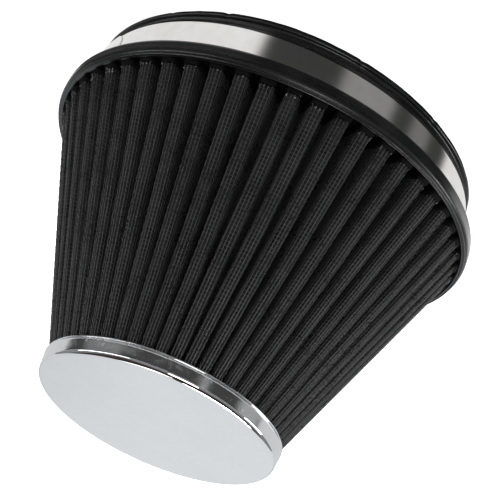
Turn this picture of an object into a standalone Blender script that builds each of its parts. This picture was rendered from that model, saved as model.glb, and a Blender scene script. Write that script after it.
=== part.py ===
"""A round, tapered clamp-on air filter.

The filter stands on the mouth of its neck. The origin is the centre of the mouth,
+Z points to the chrome end cap and -Y is the front. Lengths are in metres.
"""

import math

import bmesh
import bpy
from mathutils import Matrix, Vector

MM = 0.001

# Driving dimensions
NECK_BORE_RADIUS = 76.2 * MM
NECK_RADIUS = 81.5 * MM
RING_RADIUS = 89.4 * MM
RING_BOTTOM_Z = 21.1 * MM
RING_TOP_Z = 28.1 * MM
CREST_RADIUS_AT_RING = 86.2 * MM
CREST_RADIUS_AT_CAP = 48.1 * MM
CAP_RADIUS = 49.5 * MM
CAP_RIM_Z = 128.7 * MM
CAP_TOP_Z = 136.4 * MM
CLEARANCE = 0.3 * MM

# Pleats: one sandwich of outer screen, gauze and inner screen
PLEAT_COUNT = 52
PLEAT_HEIGHT = 11.2 * MM
CREST_WIDTH_AT_RING = 5.4 * MM
CREST_WIDTH_AT_CAP = 4.4 * MM
VALLEY_WIDTH = 0.9 * MM
SCREEN_THICKNESS = 0.3 * MM
GAUZE_THICKNESS = 0.4 * MM
LAYER_GAP = 0.25 * MM
PLEAT_FOOT_Z = RING_TOP_Z - 3.0 * MM
PLEAT_TOP_Z = CAP_RIM_Z + 2.3 * MM
FIRST_CREST_DEG = -88.0

# End cap and the disc of potting under it
CAP_SHEET = 0.8 * MM
CAP_EDGE_RADIUS = 1.8 * MM
CAP_DRAFT = 0.5 * MM
POTTING_CHAMFER = 1.2 * MM

# Base moulding
MOUTH_OUTER_ROUNDING = 2.6 * MM
MOUTH_INNER_ROUNDING = 0.8 * MM
RING_UPPER_ROUNDING = 2.6 * MM
RING_LOWER_ROUNDING = 1.6 * MM
RING_BEAD_HEIGHT = 0.5 * MM
PIPE_STOP_Z = 20.0 * MM
PIPE_STOP_RADIUS = 72.4 * MM
INNER_WALL_TOP_Z = RING_TOP_Z - 1.0 * MM

# Clamp
BAND_WIDTH = 12.0 * MM
BAND_THICKNESS = 0.7 * MM
BAND_BOTTOM_Z = 7.8 * MM
BAND_INNER_RADIUS = NECK_RADIUS + CLEARANCE
BAND_CENTRE_Z = BAND_BOTTOM_Z + BAND_WIDTH / 2
BAND_SPLIT_DEG = 2.0
SADDLE_GAP = 0.2 * MM
SADDLE_THICKNESS = 0.4 * MM
TAIL_THICKNESS = 0.6 * MM
TAIL_END_DEG = -27.0
TAIL_BACK_DEG = 14.0
TAIL_TIP_CHAMFER = 3.0 * MM
SLOT_LENGTH = 8.0 * MM
SLOT_WIDTH = 1.0 * MM
SLOT_DEPTH = 0.35 * MM
SLOT_COUNT = 22
SCREW_LEAD = 2.4 * MM
HOUSING_DEG = 32.0
HOUSING_LENGTH = 16.0 * MM
HOUSING_WIDTH = 13.8 * MM
HOUSING_SHEET = 0.7 * MM
SCREW_RADIUS = 3.0 * MM
SCREW_CORE_RADIUS = 2.3 * MM
SCREW_STEPS = 24
RIB_COUNT = 5
COLLAR_LENGTH = 1.6 * MM
HEAD_ACROSS_FLATS = 6.35 * MM
HEAD_LENGTH = 4.4 * MM
DRIVER_SLOT = 1.0 * MM

# Worked out from the above
CREST_SLOPE = (CREST_RADIUS_AT_RING - CREST_RADIUS_AT_CAP) / (CAP_RIM_Z - RING_TOP_Z)
SANDWICH = 2 * SCREEN_THICKNESS + GAUZE_THICKNESS + 2 * LAYER_GAP
SADDLE_INNER_RADIUS = BAND_INNER_RADIUS + BAND_THICKNESS + SADDLE_GAP
TAIL_INNER_RADIUS = SADDLE_INNER_RADIUS + SADDLE_THICKNESS + SADDLE_GAP
TAIL_OUTER_RADIUS = TAIL_INNER_RADIUS + TAIL_THICKNESS
SCREW_AXIS_RADIUS = TAIL_OUTER_RADIUS + CLEARANCE + SCREW_RADIUS
LATHE_STEPS = 72


def crest_radius(z):
    """Radius of the pleat crests at height z."""
    return CREST_RADIUS_AT_RING - CREST_SLOPE * (z - RING_TOP_Z)


def crest_width(z):
    """Width of a pleat's flat crest at height z."""
    share = (z - RING_TOP_Z) / (CAP_RIM_Z - RING_TOP_Z)
    return CREST_WIDTH_AT_RING + (CREST_WIDTH_AT_CAP - CREST_WIDTH_AT_RING) * share


def arc(centre_r, centre_z, radius, start_deg, end_deg, steps):
    """Points of a round corner in the radius-height plane, both ends included."""
    points = []
    for i in range(steps + 1):
        a = math.radians(start_deg + (end_deg - start_deg) * i / steps)
        points.append((centre_r + radius * math.cos(a), centre_z + radius * math.sin(a)))
    return points


def clear_objects():
    for obj in list(bpy.data.objects):
        bpy.data.objects.remove(obj, do_unlink=True)


def collection(name):
    group = bpy.data.collections.new(name)
    bpy.context.scene.collection.children.link(group)
    return group


def principled(name, colour, roughness, metallic):
    material = bpy.data.materials.new(name)
    material.use_nodes = True
    shader = material.node_tree.nodes["Principled BSDF"]
    shader.inputs["Base Color"].default_value = (*colour, 1.0)
    shader.inputs["Roughness"].default_value = roughness
    shader.inputs["Metallic"].default_value = metallic
    return material


def chrome():
    return principled("chrome_plate", (0.80, 0.81, 0.83), 0.08, 1.0)


def rubber():
    return principled("black_urethane", (0.020, 0.021, 0.023), 0.45, 0.0)


def coated_wire():
    return principled("coated_wire", (0.030, 0.031, 0.034), 0.40, 0.0)


def cotton():
    return principled("oiled_cotton", (0.015, 0.015, 0.016), 0.90, 0.0)


def stainless():
    return principled("stainless_strip", (0.66, 0.65, 0.62), 0.22, 1.0)


def plated_steel():
    return principled("plated_steel", (0.58, 0.58, 0.57), 0.32, 1.0)


def add_object(name, mesh, group, material):
    obj = bpy.data.objects.new(name, mesh)
    group.objects.link(obj)
    mesh.materials.append(material)
    return obj


def mesh_from(bm, name):
    mesh = bpy.data.meshes.new(name)
    bm.to_mesh(mesh)
    bm.free()
    return mesh


def smooth(mesh, angle_deg=35.0):
    mesh.shade_smooth()
    mesh.set_sharp_from_angle(angle=math.radians(angle_deg))


def lathe(name, outline, group, material, closed):
    """Turn an outline of (radius, height) points round Z with a Screw modifier."""
    bm = bmesh.new()
    verts = [bm.verts.new((r, 0.0, z)) for r, z in outline]
    for a, b in zip(verts, verts[1:]):
        bm.edges.new((a, b))
    if closed:
        bm.edges.new((verts[-1], verts[0]))
    obj = add_object(name, mesh_from(bm, name), group, material)
    screw = obj.modifiers.new("turn", "SCREW")
    screw.axis = "Z"
    screw.steps = LATHE_STEPS
    screw.render_steps = LATHE_STEPS
    screw.use_merge_vertices = True
    screw.merge_threshold = 0.00001
    screw.use_smooth_shade = True
    return obj


def swept_arc(name, outline, start_deg, end_deg, steps, group, material):
    """Carry a closed outline round Z from one angle to another, with both ends capped."""
    bm = bmesh.new()
    start = Matrix.Rotation(math.radians(start_deg), 3, "Z")
    verts = [bm.verts.new(start @ Vector((r, 0.0, z))) for r, z in outline]
    face = bm.faces.new(verts)
    bmesh.ops.spin(
        bm,
        geom=list(verts) + list(face.edges) + [face],
        axis=(0.0, 0.0, 1.0),
        cent=(0.0, 0.0, 0.0),
        angle=math.radians(end_deg - start_deg),
        steps=steps,
        use_duplicate=False,
    )
    bmesh.ops.recalc_face_normals(bm, faces=bm.faces)
    mesh = mesh_from(bm, name)
    smooth(mesh)
    return add_object(name, mesh, group, material)


def apply_modifiers(obj):
    """Replace the object's mesh with its evaluated one and drop the modifiers."""
    bpy.context.view_layer.update()
    graph = bpy.context.evaluated_depsgraph_get()
    mesh = bpy.data.meshes.new_from_object(obj.evaluated_get(graph))
    obj.modifiers.clear()
    obj.data = mesh


def cut(obj, cutter):
    cutter.hide_render = True
    cutter.display_type = "WIRE"
    boolean = obj.modifiers.new("cut_" + cutter.name, "BOOLEAN")
    boolean.operation = "DIFFERENCE"
    boolean.solver = "EXACT"
    boolean.object = cutter


def join(obj, tool):
    tool.hide_render = True
    tool.display_type = "WIRE"
    boolean = obj.modifiers.new("join_" + tool.name, "BOOLEAN")
    boolean.operation = "UNION"
    boolean.solver = "EXACT"
    boolean.object = tool


def box(name, size, centre, group, material=None):
    """A block of the given size about a centre point, edges along its own axes."""
    bm = bmesh.new()
    bmesh.ops.create_cube(bm, size=1.0)
    bmesh.ops.scale(bm, vec=size, verts=bm.verts)
    bmesh.ops.translate(bm, vec=centre, verts=bm.verts)
    mesh = mesh_from(bm, name)
    obj = bpy.data.objects.new(name, mesh)
    group.objects.link(obj)
    if material:
        mesh.materials.append(material)
    return obj


def pleat_ring(bm, z, inset):
    """One pleated outline at height z: a flat crest and a narrow valley for each pleat."""
    crest_r = crest_radius(z) - inset
    valley_r = crest_radius(z) - PLEAT_HEIGHT - inset
    crest_half = crest_width(z) / 2 - inset
    valley_half = VALLEY_WIDTH / 2 + inset
    pitch = 2 * math.pi / PLEAT_COUNT
    ring = []
    for i in range(PLEAT_COUNT):
        crest_angle = math.radians(FIRST_CREST_DEG) + i * pitch
        for radius, half, turn in (
            (crest_r, crest_half, crest_angle),
            (valley_r, valley_half, crest_angle + pitch / 2),
        ):
            out = Vector((math.cos(turn), math.sin(turn), 0.0))
            across = Vector((-math.sin(turn), math.cos(turn), 0.0))
            for side in (-1, 1):
                point = radius * out + side * half * across
                ring.append(bm.verts.new((point.x, point.y, z)))
    return ring


def pleated_layer(name, inset, thickness, group, material):
    """A pleated cone: an open surface between two outlines, thickened inwards."""
    bm = bmesh.new()
    low = pleat_ring(bm, PLEAT_FOOT_Z, inset)
    high = pleat_ring(bm, PLEAT_TOP_Z, inset)
    for i in range(len(low)):
        j = (i + 1) % len(low)
        bm.faces.new((low[i], low[j], high[j], high[i]))
    obj = add_object(name, mesh_from(bm, name), group, material)
    wall = obj.modifiers.new("wall", "SOLIDIFY")
    wall.thickness = thickness
    wall.offset = -1.0
    wall.use_even_offset = True
    return obj


def make_pleats(group):
    gauze_inset = SCREEN_THICKNESS + LAYER_GAP
    inner_inset = gauze_inset + GAUZE_THICKNESS + LAYER_GAP
    pleated_layer("outer_screen", 0.0, SCREEN_THICKNESS, group, coated_wire())
    pleated_layer("cotton_gauze", gauze_inset, GAUZE_THICKNESS, group, cotton())
    pleated_layer("inner_screen", inner_inset, SCREEN_THICKNESS, group, coated_wire())


def make_seam_strip(group):
    """A flat strip bonded along one inner pleat tip, where the pleated pack is closed."""
    width = 5.0 * MM
    thickness = 0.5 * MM
    low_z = RING_TOP_Z + 1.5 * MM
    high_z = PLEAT_TOP_Z - 1.0 * MM
    reach = PLEAT_HEIGHT + SANDWICH + 2 * CLEARANCE + thickness / 2
    low = Vector((crest_radius(low_z) - reach, 0.0, low_z))
    high = Vector((crest_radius(high_z) - reach, 0.0, high_z))
    run = high - low
    valley_deg = FIRST_CREST_DEG + 180.0 / PLEAT_COUNT
    strip_deg = valley_deg + 360.0 / PLEAT_COUNT * round(180.0 * PLEAT_COUNT / 360.0)
    obj = box("seam_strip", (thickness, width, run.length), (0.0, 0.0, 0.0), group, plated_steel())
    lean = Matrix.Rotation(math.atan2(run.x, run.z), 4, "Y")
    place = Matrix.Translation((low + high) / 2) @ lean
    obj.matrix_world = Matrix.Rotation(math.radians(strip_deg), 4, "Z") @ place
    return obj


def make_end_cap(group):
    """A pressed cup: flat face, round edge and a slightly drafted wall."""
    face_radius = CAP_RADIUS - CAP_DRAFT
    centre_r = face_radius - CAP_EDGE_RADIUS
    centre_z = CAP_TOP_Z - CAP_EDGE_RADIUS
    outside = [(0.0, CAP_TOP_Z)]
    outside += arc(centre_r, centre_z, CAP_EDGE_RADIUS, 90.0, 0.0, 5)
    outside += [(CAP_RADIUS, CAP_RIM_Z)]
    inside = [(CAP_RADIUS - CAP_SHEET, CAP_RIM_Z)]
    inside += arc(centre_r, centre_z, CAP_EDGE_RADIUS - CAP_SHEET, 0.0, 90.0, 3)
    inside += [(0.0, CAP_TOP_Z - CAP_SHEET)]
    return lathe("end_cap", outside + inside, group, chrome(), closed=False)


def make_cap_potting(group):
    """The moulded disc that seals the pleat ends inside the cap."""
    top = CAP_TOP_Z - CAP_SHEET - CLEARANCE
    bottom = PLEAT_TOP_Z + CLEARANCE
    radius = CAP_RADIUS - CAP_DRAFT - CAP_SHEET - CLEARANCE
    outline = [(0.0, top), (radius - POTTING_CHAMFER, top), (radius, top - POTTING_CHAMFER)]
    outline += [(radius, bottom), (0.0, bottom)]
    return lathe("cap_potting", outline, group, rubber(), closed=False)


def make_base_moulding(group):
    """The soft ring that holds the pleat feet, with the clamping neck below it."""
    lip_gap = CLEARANCE / math.cos(math.atan(CREST_SLOPE))
    floor_z = PLEAT_FOOT_Z - CLEARANCE
    lip_inner_top = crest_radius(RING_TOP_Z) + lip_gap
    lip_inner_low = crest_radius(floor_z) + lip_gap
    tip_depth = PLEAT_HEIGHT + SANDWICH + lip_gap
    wall_outer_low = crest_radius(floor_z) - tip_depth
    wall_outer_top = crest_radius(INNER_WALL_TOP_Z) - tip_depth
    bead_top = RING_TOP_Z + RING_BEAD_HEIGHT
    upper = RING_UPPER_ROUNDING
    lower = RING_LOWER_ROUNDING
    outline = [(lip_inner_top, bead_top), (RING_RADIUS - upper, bead_top)]
    outline += arc(RING_RADIUS - upper, bead_top - upper, upper, 60.0, 0.0, 3)
    outline += arc(RING_RADIUS - lower, RING_BOTTOM_Z + lower, lower, 0.0, -90.0, 3)
    outline += [(NECK_RADIUS, RING_BOTTOM_Z)]
    mouth_r = NECK_RADIUS - MOUTH_OUTER_ROUNDING
    outline += arc(mouth_r, MOUTH_OUTER_ROUNDING, MOUTH_OUTER_ROUNDING, 0.0, -90.0, 4)
    bore_r = NECK_BORE_RADIUS + MOUTH_INNER_ROUNDING
    outline += arc(bore_r, MOUTH_INNER_ROUNDING, MOUTH_INNER_ROUNDING, -90.0, -180.0, 2)
    outline += [(NECK_BORE_RADIUS, PIPE_STOP_Z), (PIPE_STOP_RADIUS, PIPE_STOP_Z)]
    outline += [(PIPE_STOP_RADIUS, INNER_WALL_TOP_Z), (wall_outer_top, INNER_WALL_TOP_Z)]
    outline += [(wall_outer_low, floor_z), (lip_inner_low, floor_z)]
    return lathe("base_moulding", outline, group, rubber(), closed=True)


def strip_outline(inner_radius, thickness, low_z, high_z):
    outer = inner_radius + thickness
    return [(inner_radius, low_z), (outer, low_z), (outer, high_z), (inner_radius, high_z)]


def make_clamp_band(group):
    """The main loop of the clamp strip, split under the housing."""
    outline = strip_outline(
        BAND_INNER_RADIUS, BAND_THICKNESS, BAND_BOTTOM_Z, BAND_BOTTOM_Z + BAND_WIDTH
    )
    start = HOUSING_DEG + BAND_SPLIT_DEG / 2
    end = HOUSING_DEG + 360.0 - BAND_SPLIT_DEG / 2
    return swept_arc("clamp_band", outline, start, end, LATHE_STEPS, group, stainless())


def make_clamp_tail(group, cutters):
    """The free end of the strip: it lies over the main loop and runs through the housing."""
    low_z = BAND_BOTTOM_Z
    outline = strip_outline(TAIL_INNER_RADIUS, TAIL_THICKNESS, low_z, low_z + BAND_WIDTH)
    back = HOUSING_DEG + TAIL_BACK_DEG
    tail = swept_arc("clamp_tail", outline, TAIL_END_DEG, back, 20, group, stainless())
    slot_size = (2 * SLOT_DEPTH, SLOT_WIDTH, SLOT_LENGTH)
    pitch_deg = math.degrees(SCREW_LEAD / TAIL_OUTER_RADIUS)
    for i in range(SLOT_COUNT):
        turn = back - (i + 1) * pitch_deg
        slot = box("slot_%02d" % i, slot_size, (TAIL_OUTER_RADIUS, 0.0, BAND_CENTRE_Z), cutters)
        slot.matrix_world = Matrix.Rotation(math.radians(turn), 4, "Z")
        cut(tail, slot)
    for side in (-1, 1):
        corner = box(
            "tip_corner_%d" % side,
            (4 * TAIL_THICKNESS, TAIL_TIP_CHAMFER, TAIL_TIP_CHAMFER),
            (0.0, 0.0, 0.0),
            cutters,
        )
        turn = Matrix.Rotation(math.radians(TAIL_END_DEG), 4, "Z")
        reach = (TAIL_OUTER_RADIUS, 0.0, BAND_CENTRE_Z + side * BAND_WIDTH / 2)
        corner.matrix_world = turn @ Matrix.Translation(reach) @ Matrix.Rotation(math.radians(45.0), 4, "X")
        cut(tail, corner)
    apply_modifiers(tail)
    return tail


def housing_frame():
    """Frame at the housing: X radially out, Y along the strip, Z up, origin on the main axis."""
    return Matrix.Rotation(math.radians(HOUSING_DEG), 4, "Z")


def half_angle(length, radius):
    return math.degrees(math.asin(length / 2 / radius))


def make_clamp_saddle(group):
    """The thin bridge between the main loop and the free end, inside the housing."""
    reach = half_angle(HOUSING_LENGTH - 2 * MM, SADDLE_INNER_RADIUS)
    outline = strip_outline(
        SADDLE_INNER_RADIUS, SADDLE_THICKNESS, BAND_BOTTOM_Z + 0.3 * MM, BAND_BOTTOM_Z + BAND_WIDTH - 0.3 * MM
    )
    return swept_arc(
        "clamp_saddle", outline, HOUSING_DEG - reach, HOUSING_DEG + reach, 4, group, plated_steel()
    )


def make_clamp_housing(group, cutters):
    """The pressed cover over the worm: an arched block, hollowed for the screw and the strip."""
    half_width = HOUSING_WIDTH / 2
    barrel = SCREW_RADIUS + CLEARANCE
    shoulder_r = TAIL_OUTER_RADIUS + HOUSING_SHEET + CLEARANCE
    foot_r = BAND_INNER_RADIUS + CLEARANCE
    outer_barrel = barrel + HOUSING_SHEET
    outline = [(foot_r, -half_width), (shoulder_r, -half_width)]
    outline += arc(SCREW_AXIS_RADIUS, 0.0, outer_barrel, -75.0, 75.0, 8)
    outline += [(shoulder_r, half_width), (foot_r, half_width)]
    bm = bmesh.new()
    verts = [bm.verts.new((x, -HOUSING_LENGTH / 2, z + BAND_CENTRE_Z)) for x, z in outline]
    face = bm.faces.new(verts)
    made = bmesh.ops.extrude_face_region(bm, geom=[face])
    moved = [item for item in made["geom"] if isinstance(item, bmesh.types.BMVert)]
    bmesh.ops.translate(bm, vec=(0.0, HOUSING_LENGTH, 0.0), verts=moved)
    bmesh.ops.recalc_face_normals(bm, faces=bm.faces)
    mesh = mesh_from(bm, "clamp_housing")
    smooth(mesh)
    housing = add_object("clamp_housing", mesh, group, plated_steel())
    housing.matrix_world = housing_frame()

    tunnel_top = TAIL_OUTER_RADIUS + CLEARANCE
    tunnel_bottom = foot_r - 1.0 * MM
    tunnel = box(
        "strip_tunnel",
        (tunnel_top - tunnel_bottom, 2 * HOUSING_LENGTH, BAND_WIDTH + 2 * CLEARANCE),
        ((tunnel_top + tunnel_bottom) / 2, 0.0, BAND_CENTRE_Z),
        cutters,
    )
    tunnel.matrix_world = housing_frame()
    cut(housing, tunnel)

    bm = bmesh.new()
    bmesh.ops.create_cone(
        bm, cap_ends=True, segments=24, radius1=barrel, radius2=barrel, depth=2 * HOUSING_LENGTH
    )
    bore = bpy.data.objects.new("worm_bore", mesh_from(bm, "worm_bore"))
    cutters.objects.link(bore)
    centre = Matrix.Translation((SCREW_AXIS_RADIUS, 0.0, BAND_CENTRE_Z))
    bore.matrix_world = housing_frame() @ centre @ Matrix.Rotation(math.radians(90.0), 4, "X")
    cut(housing, bore)
    apply_modifiers(housing)
    return housing


def make_clamp_screw(group, cutters):
    """The worm: a ribbed barrel in the housing and a slotted hexagon head outside it."""
    tip_z = HOUSING_LENGTH / 2 - 1.0 * MM
    head_top_z = -HOUSING_LENGTH / 2 - COLLAR_LENGTH
    outline = [(0.0, tip_z), (SCREW_CORE_RADIUS, tip_z)]
    for i in range(RIB_COUNT):
        centre = ((RIB_COUNT - 1) / 2 - i) * SCREW_LEAD
        outline += [
            (SCREW_CORE_RADIUS, centre + 0.32 * SCREW_LEAD),
            (SCREW_RADIUS, centre + 0.14 * SCREW_LEAD),
            (SCREW_RADIUS, centre - 0.14 * SCREW_LEAD),
            (SCREW_CORE_RADIUS, centre - 0.32 * SCREW_LEAD),
        ]
    shank_end_z = head_top_z - HEAD_LENGTH / 4
    outline += [(SCREW_CORE_RADIUS, shank_end_z), (0.0, shank_end_z)]
    screw = lathe("clamp_screw", outline, group, plated_steel(), closed=False)
    screw.modifiers["turn"].steps = SCREW_STEPS
    screw.modifiers["turn"].render_steps = SCREW_STEPS

    bm = bmesh.new()
    corner = HEAD_ACROSS_FLATS / 2 / math.cos(math.radians(30.0))
    bmesh.ops.create_cone(bm, cap_ends=True, segments=6, radius1=corner, radius2=corner, depth=HEAD_LENGTH)
    head_z = head_top_z - HEAD_LENGTH / 2
    bmesh.ops.translate(bm, vec=(0.0, 0.0, head_z), verts=bm.verts)
    head = bpy.data.objects.new("screw_head", mesh_from(bm, "screw_head"))
    cutters.objects.link(head)
    join(screw, head)
    slot = box(
        "driver_slot",
        (DRIVER_SLOT, 3 * SCREW_RADIUS, 2 * DRIVER_SLOT),
        (0.0, 0.0, head_z - HEAD_LENGTH / 2),
        cutters,
    )
    cut(screw, slot)
    apply_modifiers(screw)
    centre = Matrix.Translation((SCREW_AXIS_RADIUS, 0.0, BAND_CENTRE_Z))
    screw.matrix_world = housing_frame() @ centre @ Matrix.Rotation(math.radians(-90.0), 4, "X")
    return screw


def main():
    clear_objects()
    group = collection("air_filter")
    cutters = collection("cutters")
    make_end_cap(group)
    make_cap_potting(group)
    make_pleats(group)
    make_seam_strip(group)
    make_base_moulding(group)
    make_clamp_band(group)
    make_clamp_tail(group, cutters)
    make_clamp_saddle(group)
    make_clamp_housing(group, cutters)
    make_clamp_screw(group, cutters)


main()
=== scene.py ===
"""Looks of the round, tapered clamp-on air filter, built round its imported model.

The filter stands on the mouth of its neck, +Z points to the chrome end cap and -Y is
the front. Lengths are in metres and angles are measured round Z from +X.
"""

import math

import bmesh
import bpy
import numpy as np
from mathutils import Matrix, Vector


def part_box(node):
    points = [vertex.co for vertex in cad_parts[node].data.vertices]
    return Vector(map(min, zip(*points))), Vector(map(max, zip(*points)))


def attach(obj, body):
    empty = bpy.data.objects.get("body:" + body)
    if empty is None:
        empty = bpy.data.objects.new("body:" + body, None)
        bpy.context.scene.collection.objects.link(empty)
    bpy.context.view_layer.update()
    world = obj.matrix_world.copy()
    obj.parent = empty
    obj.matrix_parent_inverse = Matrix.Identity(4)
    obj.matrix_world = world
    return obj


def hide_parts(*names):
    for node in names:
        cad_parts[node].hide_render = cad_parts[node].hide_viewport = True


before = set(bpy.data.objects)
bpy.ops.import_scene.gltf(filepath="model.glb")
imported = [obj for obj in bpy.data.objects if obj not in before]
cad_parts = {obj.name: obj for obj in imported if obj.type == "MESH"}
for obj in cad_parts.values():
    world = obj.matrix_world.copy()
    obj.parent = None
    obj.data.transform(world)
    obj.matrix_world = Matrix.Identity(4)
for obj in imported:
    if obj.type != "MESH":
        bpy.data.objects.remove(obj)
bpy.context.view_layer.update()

MM = 0.001

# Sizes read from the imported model
CAP_LOW, CAP_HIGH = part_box("end_cap")
BASE_LOW, BASE_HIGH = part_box("base_moulding")
SCREEN_LOW, SCREEN_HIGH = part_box("outer_screen")
BAND_LOW, BAND_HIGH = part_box("clamp_band")
CAP_RADIUS = CAP_HIGH.x
CAP_RIM_Z = CAP_LOW.z
CAP_TOP_Z = CAP_HIGH.z
RING_RADIUS = BASE_HIGH.x
RING_TOP_Z = BASE_HIGH.z - 0.5 * MM
PLEAT_FOOT_Z = SCREEN_LOW.z
PLEAT_TOP_Z = SCREEN_HIGH.z
RING_LOW_Z = 21.1 * MM
NECK_RADIUS = 81.5 * MM
LIP_RADIUS = 83.0 * MM
BAND_RADIUS = 82.5 * MM

# Pleats, as in the model
PLEAT_COUNT = 52
PLEAT_HEIGHT = 11.2 * MM
VALLEY_WIDTH = 0.9 * MM
CREST_WIDTH_AT_RING = 5.4 * MM
CREST_WIDTH_AT_CAP = 4.4 * MM
CREST_RADIUS_AT_RING = 86.2 * MM
CREST_RADIUS_AT_CAP = 47.5 * MM
CREST_BULGE = 0.20 * MM
FIRST_CREST = math.radians(-88.0)
PITCH = 2 * math.pi / PLEAT_COUNT
LEAN_AT_CAP = math.radians(1.5)
WANDER = math.radians(0.22)
OPEN_START = 0.095
OPEN_END = 0.235

# Layers of the pleated pack, as depths under the pleated face
OUTER_WIRE_DEPTH = 0.25 * MM
GAUZE_OUTER_DEPTH = 0.58 * MM
GAUZE_INNER_DEPTH = 0.92 * MM
INNER_WIRE_DEPTH = 1.25 * MM

# Woven wire
WIRE_RADIUS = 0.16 * MM
CROSS_WIRE_RADIUS = 0.125 * MM
WEAVE_HEIGHT = 0.10 * MM
PROUD = 0.07 * MM
WIRES_PER_PLEAT = 19
WIRE_ROWS = 70
INNER_WIRES_PER_PLEAT = 13
INNER_WIRE_ROWS = 48

# Clamp
HOUSING_ANGLE = math.radians(32.0)
SCREW_AXIS_RADIUS = 87.2 * MM

rng = np.random.default_rng(464)


# --- mesh helpers


def in_scene(name, data):
    """A new object for a mesh, a light or a camera."""
    obj = bpy.data.objects.new(name, data)
    bpy.context.scene.collection.objects.link(obj)
    return obj


def mesh_object(name, points, quads, smooth=True):
    """An object from an array of points and an array of four-cornered faces."""
    points = np.ascontiguousarray(points, dtype=np.float32)
    quads = np.ascontiguousarray(quads, dtype=np.int32)
    mesh = bpy.data.meshes.new(name)
    mesh.vertices.add(len(points))
    mesh.vertices.foreach_set("co", points.ravel())
    mesh.loops.add(quads.size)
    mesh.loops.foreach_set("vertex_index", quads.ravel())
    mesh.polygons.add(len(quads))
    mesh.polygons.foreach_set("loop_start", np.arange(len(quads), dtype=np.int32) * 4)
    mesh.update(calc_edges=True)
    if smooth:
        mesh.shade_smooth()
    return in_scene(name, mesh)


def grid_quads(count_u, count_v, wrap_u, wrap_v):
    """Faces of a grid of count_u by count_v points, closed in a direction that wraps."""
    u = np.arange(count_u if wrap_u else count_u - 1)
    v = np.arange(count_v if wrap_v else count_v - 1)
    u, v = np.meshgrid(u, v, indexing="ij")
    u_next = (u + 1) % count_u
    v_next = (v + 1) % count_v
    here = u * count_v
    there = u_next * count_v
    corners = (here + v, there + v, there + v_next, here + v_next)
    return np.stack(corners, axis=-1).reshape(-1, 4)


def grid_surface(name, points, wrap_u=False, wrap_v=False):
    """A surface on a grid of points of shape (u, v, 3), with doubled points merged."""
    obj = mesh_object(name, points.reshape(-1, 3), grid_quads(*points.shape[:2], wrap_u, wrap_v))
    weld_and_face_out(obj.data)
    return obj


def weld_and_face_out(mesh):
    bm = bmesh.new()
    bm.from_mesh(mesh)
    bmesh.ops.remove_doubles(bm, verts=bm.verts, dist=1e-7)
    bmesh.ops.recalc_face_normals(bm, faces=bm.faces)
    bm.to_mesh(mesh)
    bm.free()


def arc(centre, radius, start_deg, end_deg, count):
    """Points (radius, height) of a round stretch of a profile, both ends included."""
    a = np.radians(np.linspace(start_deg, end_deg, count))
    return np.stack([centre[0] + radius * np.cos(a), centre[1] + radius * np.sin(a)], axis=1)


def even_steps(outline, step, closed):
    """The outline with points added along its straight stretches, no further apart than step."""
    ends = np.roll(outline, -1, axis=0) if closed else outline[1:]
    starts = outline if closed else outline[:-1]
    parts = []
    for a, b in zip(starts, ends):
        count = max(1, int(math.ceil(np.linalg.norm(b - a) / step)))
        parts.append(a + (b - a) * np.arange(count)[:, None] / count)
    if not closed:
        parts.append(outline[-1:])
    return np.concatenate(parts)


def turned(outline, angles):
    """Points (angle, outline, xyz) of an outline of (radius, height) carried round Z."""
    radius = outline[None, :, 0]
    x = radius * np.cos(angles)[:, None]
    y = radius * np.sin(angles)[:, None]
    z = np.broadcast_to(outline[None, :, 1], x.shape)
    return np.stack([x, y, z], axis=-1)


def unit(vectors):
    return vectors / np.maximum(np.linalg.norm(vectors, axis=-1, keepdims=True), 1e-12)


def mark_points(obj, name, values):
    """A value for each of the object's points, for its material to read."""
    layer = obj.data.attributes.new(name, "FLOAT", "POINT")
    layer.data.foreach_set("value", np.ascontiguousarray(values, dtype=np.float32).ravel())


def tubes(name, lines, normals, radius, sides, closed):
    """Round wires along many lines at once.

    lines and normals have the shape (wire, point, xyz). Round each point the wire's
    skin is a ring of points at the wire's radius, in the plane of the normal and of the
    direction across the wire. Open wires with four sides get a flat face at each end.
    """
    if closed:
        along = np.roll(lines, -1, axis=1) - np.roll(lines, 1, axis=1)
    else:
        along = np.gradient(lines, axis=1)
    across = unit(np.cross(along, normals))
    upright = unit(np.cross(across, along))
    a = 2 * math.pi * (np.arange(sides) + 0.5) / sides
    ring = np.cos(a)[:, None] * upright[:, :, None, :] + np.sin(a)[:, None] * across[:, :, None, :]
    points = lines[:, :, None, :] + radius * ring
    wires, stations = lines.shape[:2]
    quads = grid_quads(stations, sides, closed, True)[:, ::-1]
    shift = np.arange(wires)[:, None, None] * stations * sides
    faces = (quads[None] + shift).reshape(-1, 4)
    if not closed and sides == 4:
        first = np.arange(4)[None] + shift[:, 0]
        last = first[:, ::-1] + (stations - 1) * sides
        faces = np.concatenate([faces, first, last])
    return mesh_object(name, points.reshape(-1, 3), faces)


# --- the pleated form


def height_share(z):
    """0 at the base ring and 1 at the cap's rim."""
    return (z - RING_TOP_Z) / (CAP_RIM_Z - RING_TOP_Z)


def crest_radius(z):
    return CREST_RADIUS_AT_RING + (CREST_RADIUS_AT_CAP - CREST_RADIUS_AT_RING) * height_share(z)


def crest_width(z):
    return CREST_WIDTH_AT_RING + (CREST_WIDTH_AT_CAP - CREST_WIDTH_AT_RING) * height_share(z)


PLEAT_PHASE = rng.uniform(0, 2 * math.pi, (PLEAT_COUNT, 2))
PLEAT_OFFSET = rng.normal(0, 0.6, PLEAT_COUNT)


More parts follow.
